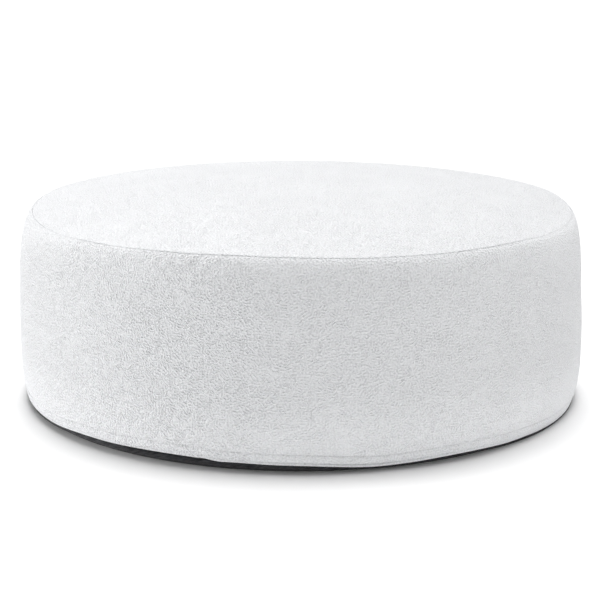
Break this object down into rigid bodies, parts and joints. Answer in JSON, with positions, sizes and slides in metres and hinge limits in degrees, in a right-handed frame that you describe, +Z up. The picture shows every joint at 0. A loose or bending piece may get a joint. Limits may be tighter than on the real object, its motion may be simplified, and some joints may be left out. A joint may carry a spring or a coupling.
{
  "type": "round ottoman",
  "caption": "Low round floor ottoman: a filled round cushion in a dark casing, under a white looped-pile cloth cover with a crowned top panel, a side band and a turned-up hem.",
  "frame": {"origin": "on the floor, under the middle of the round ottoman", "axes": "+Z up; the front, where the hem is most uneven, faces -Y, and +X is to the right"},
  "size_m": [1, 1, 0.37],
  "materials": {
    "cover_cloth": "matt white looped-pile cloth",
    "casing_cloth": "matt dark grey woven cloth"
  },
  "bodies": {
    "root": {"cover_top": "cover_cloth", "cover_band": "cover_cloth", "inner_cushion": "casing_cloth"}
  },
  "joints": []
}
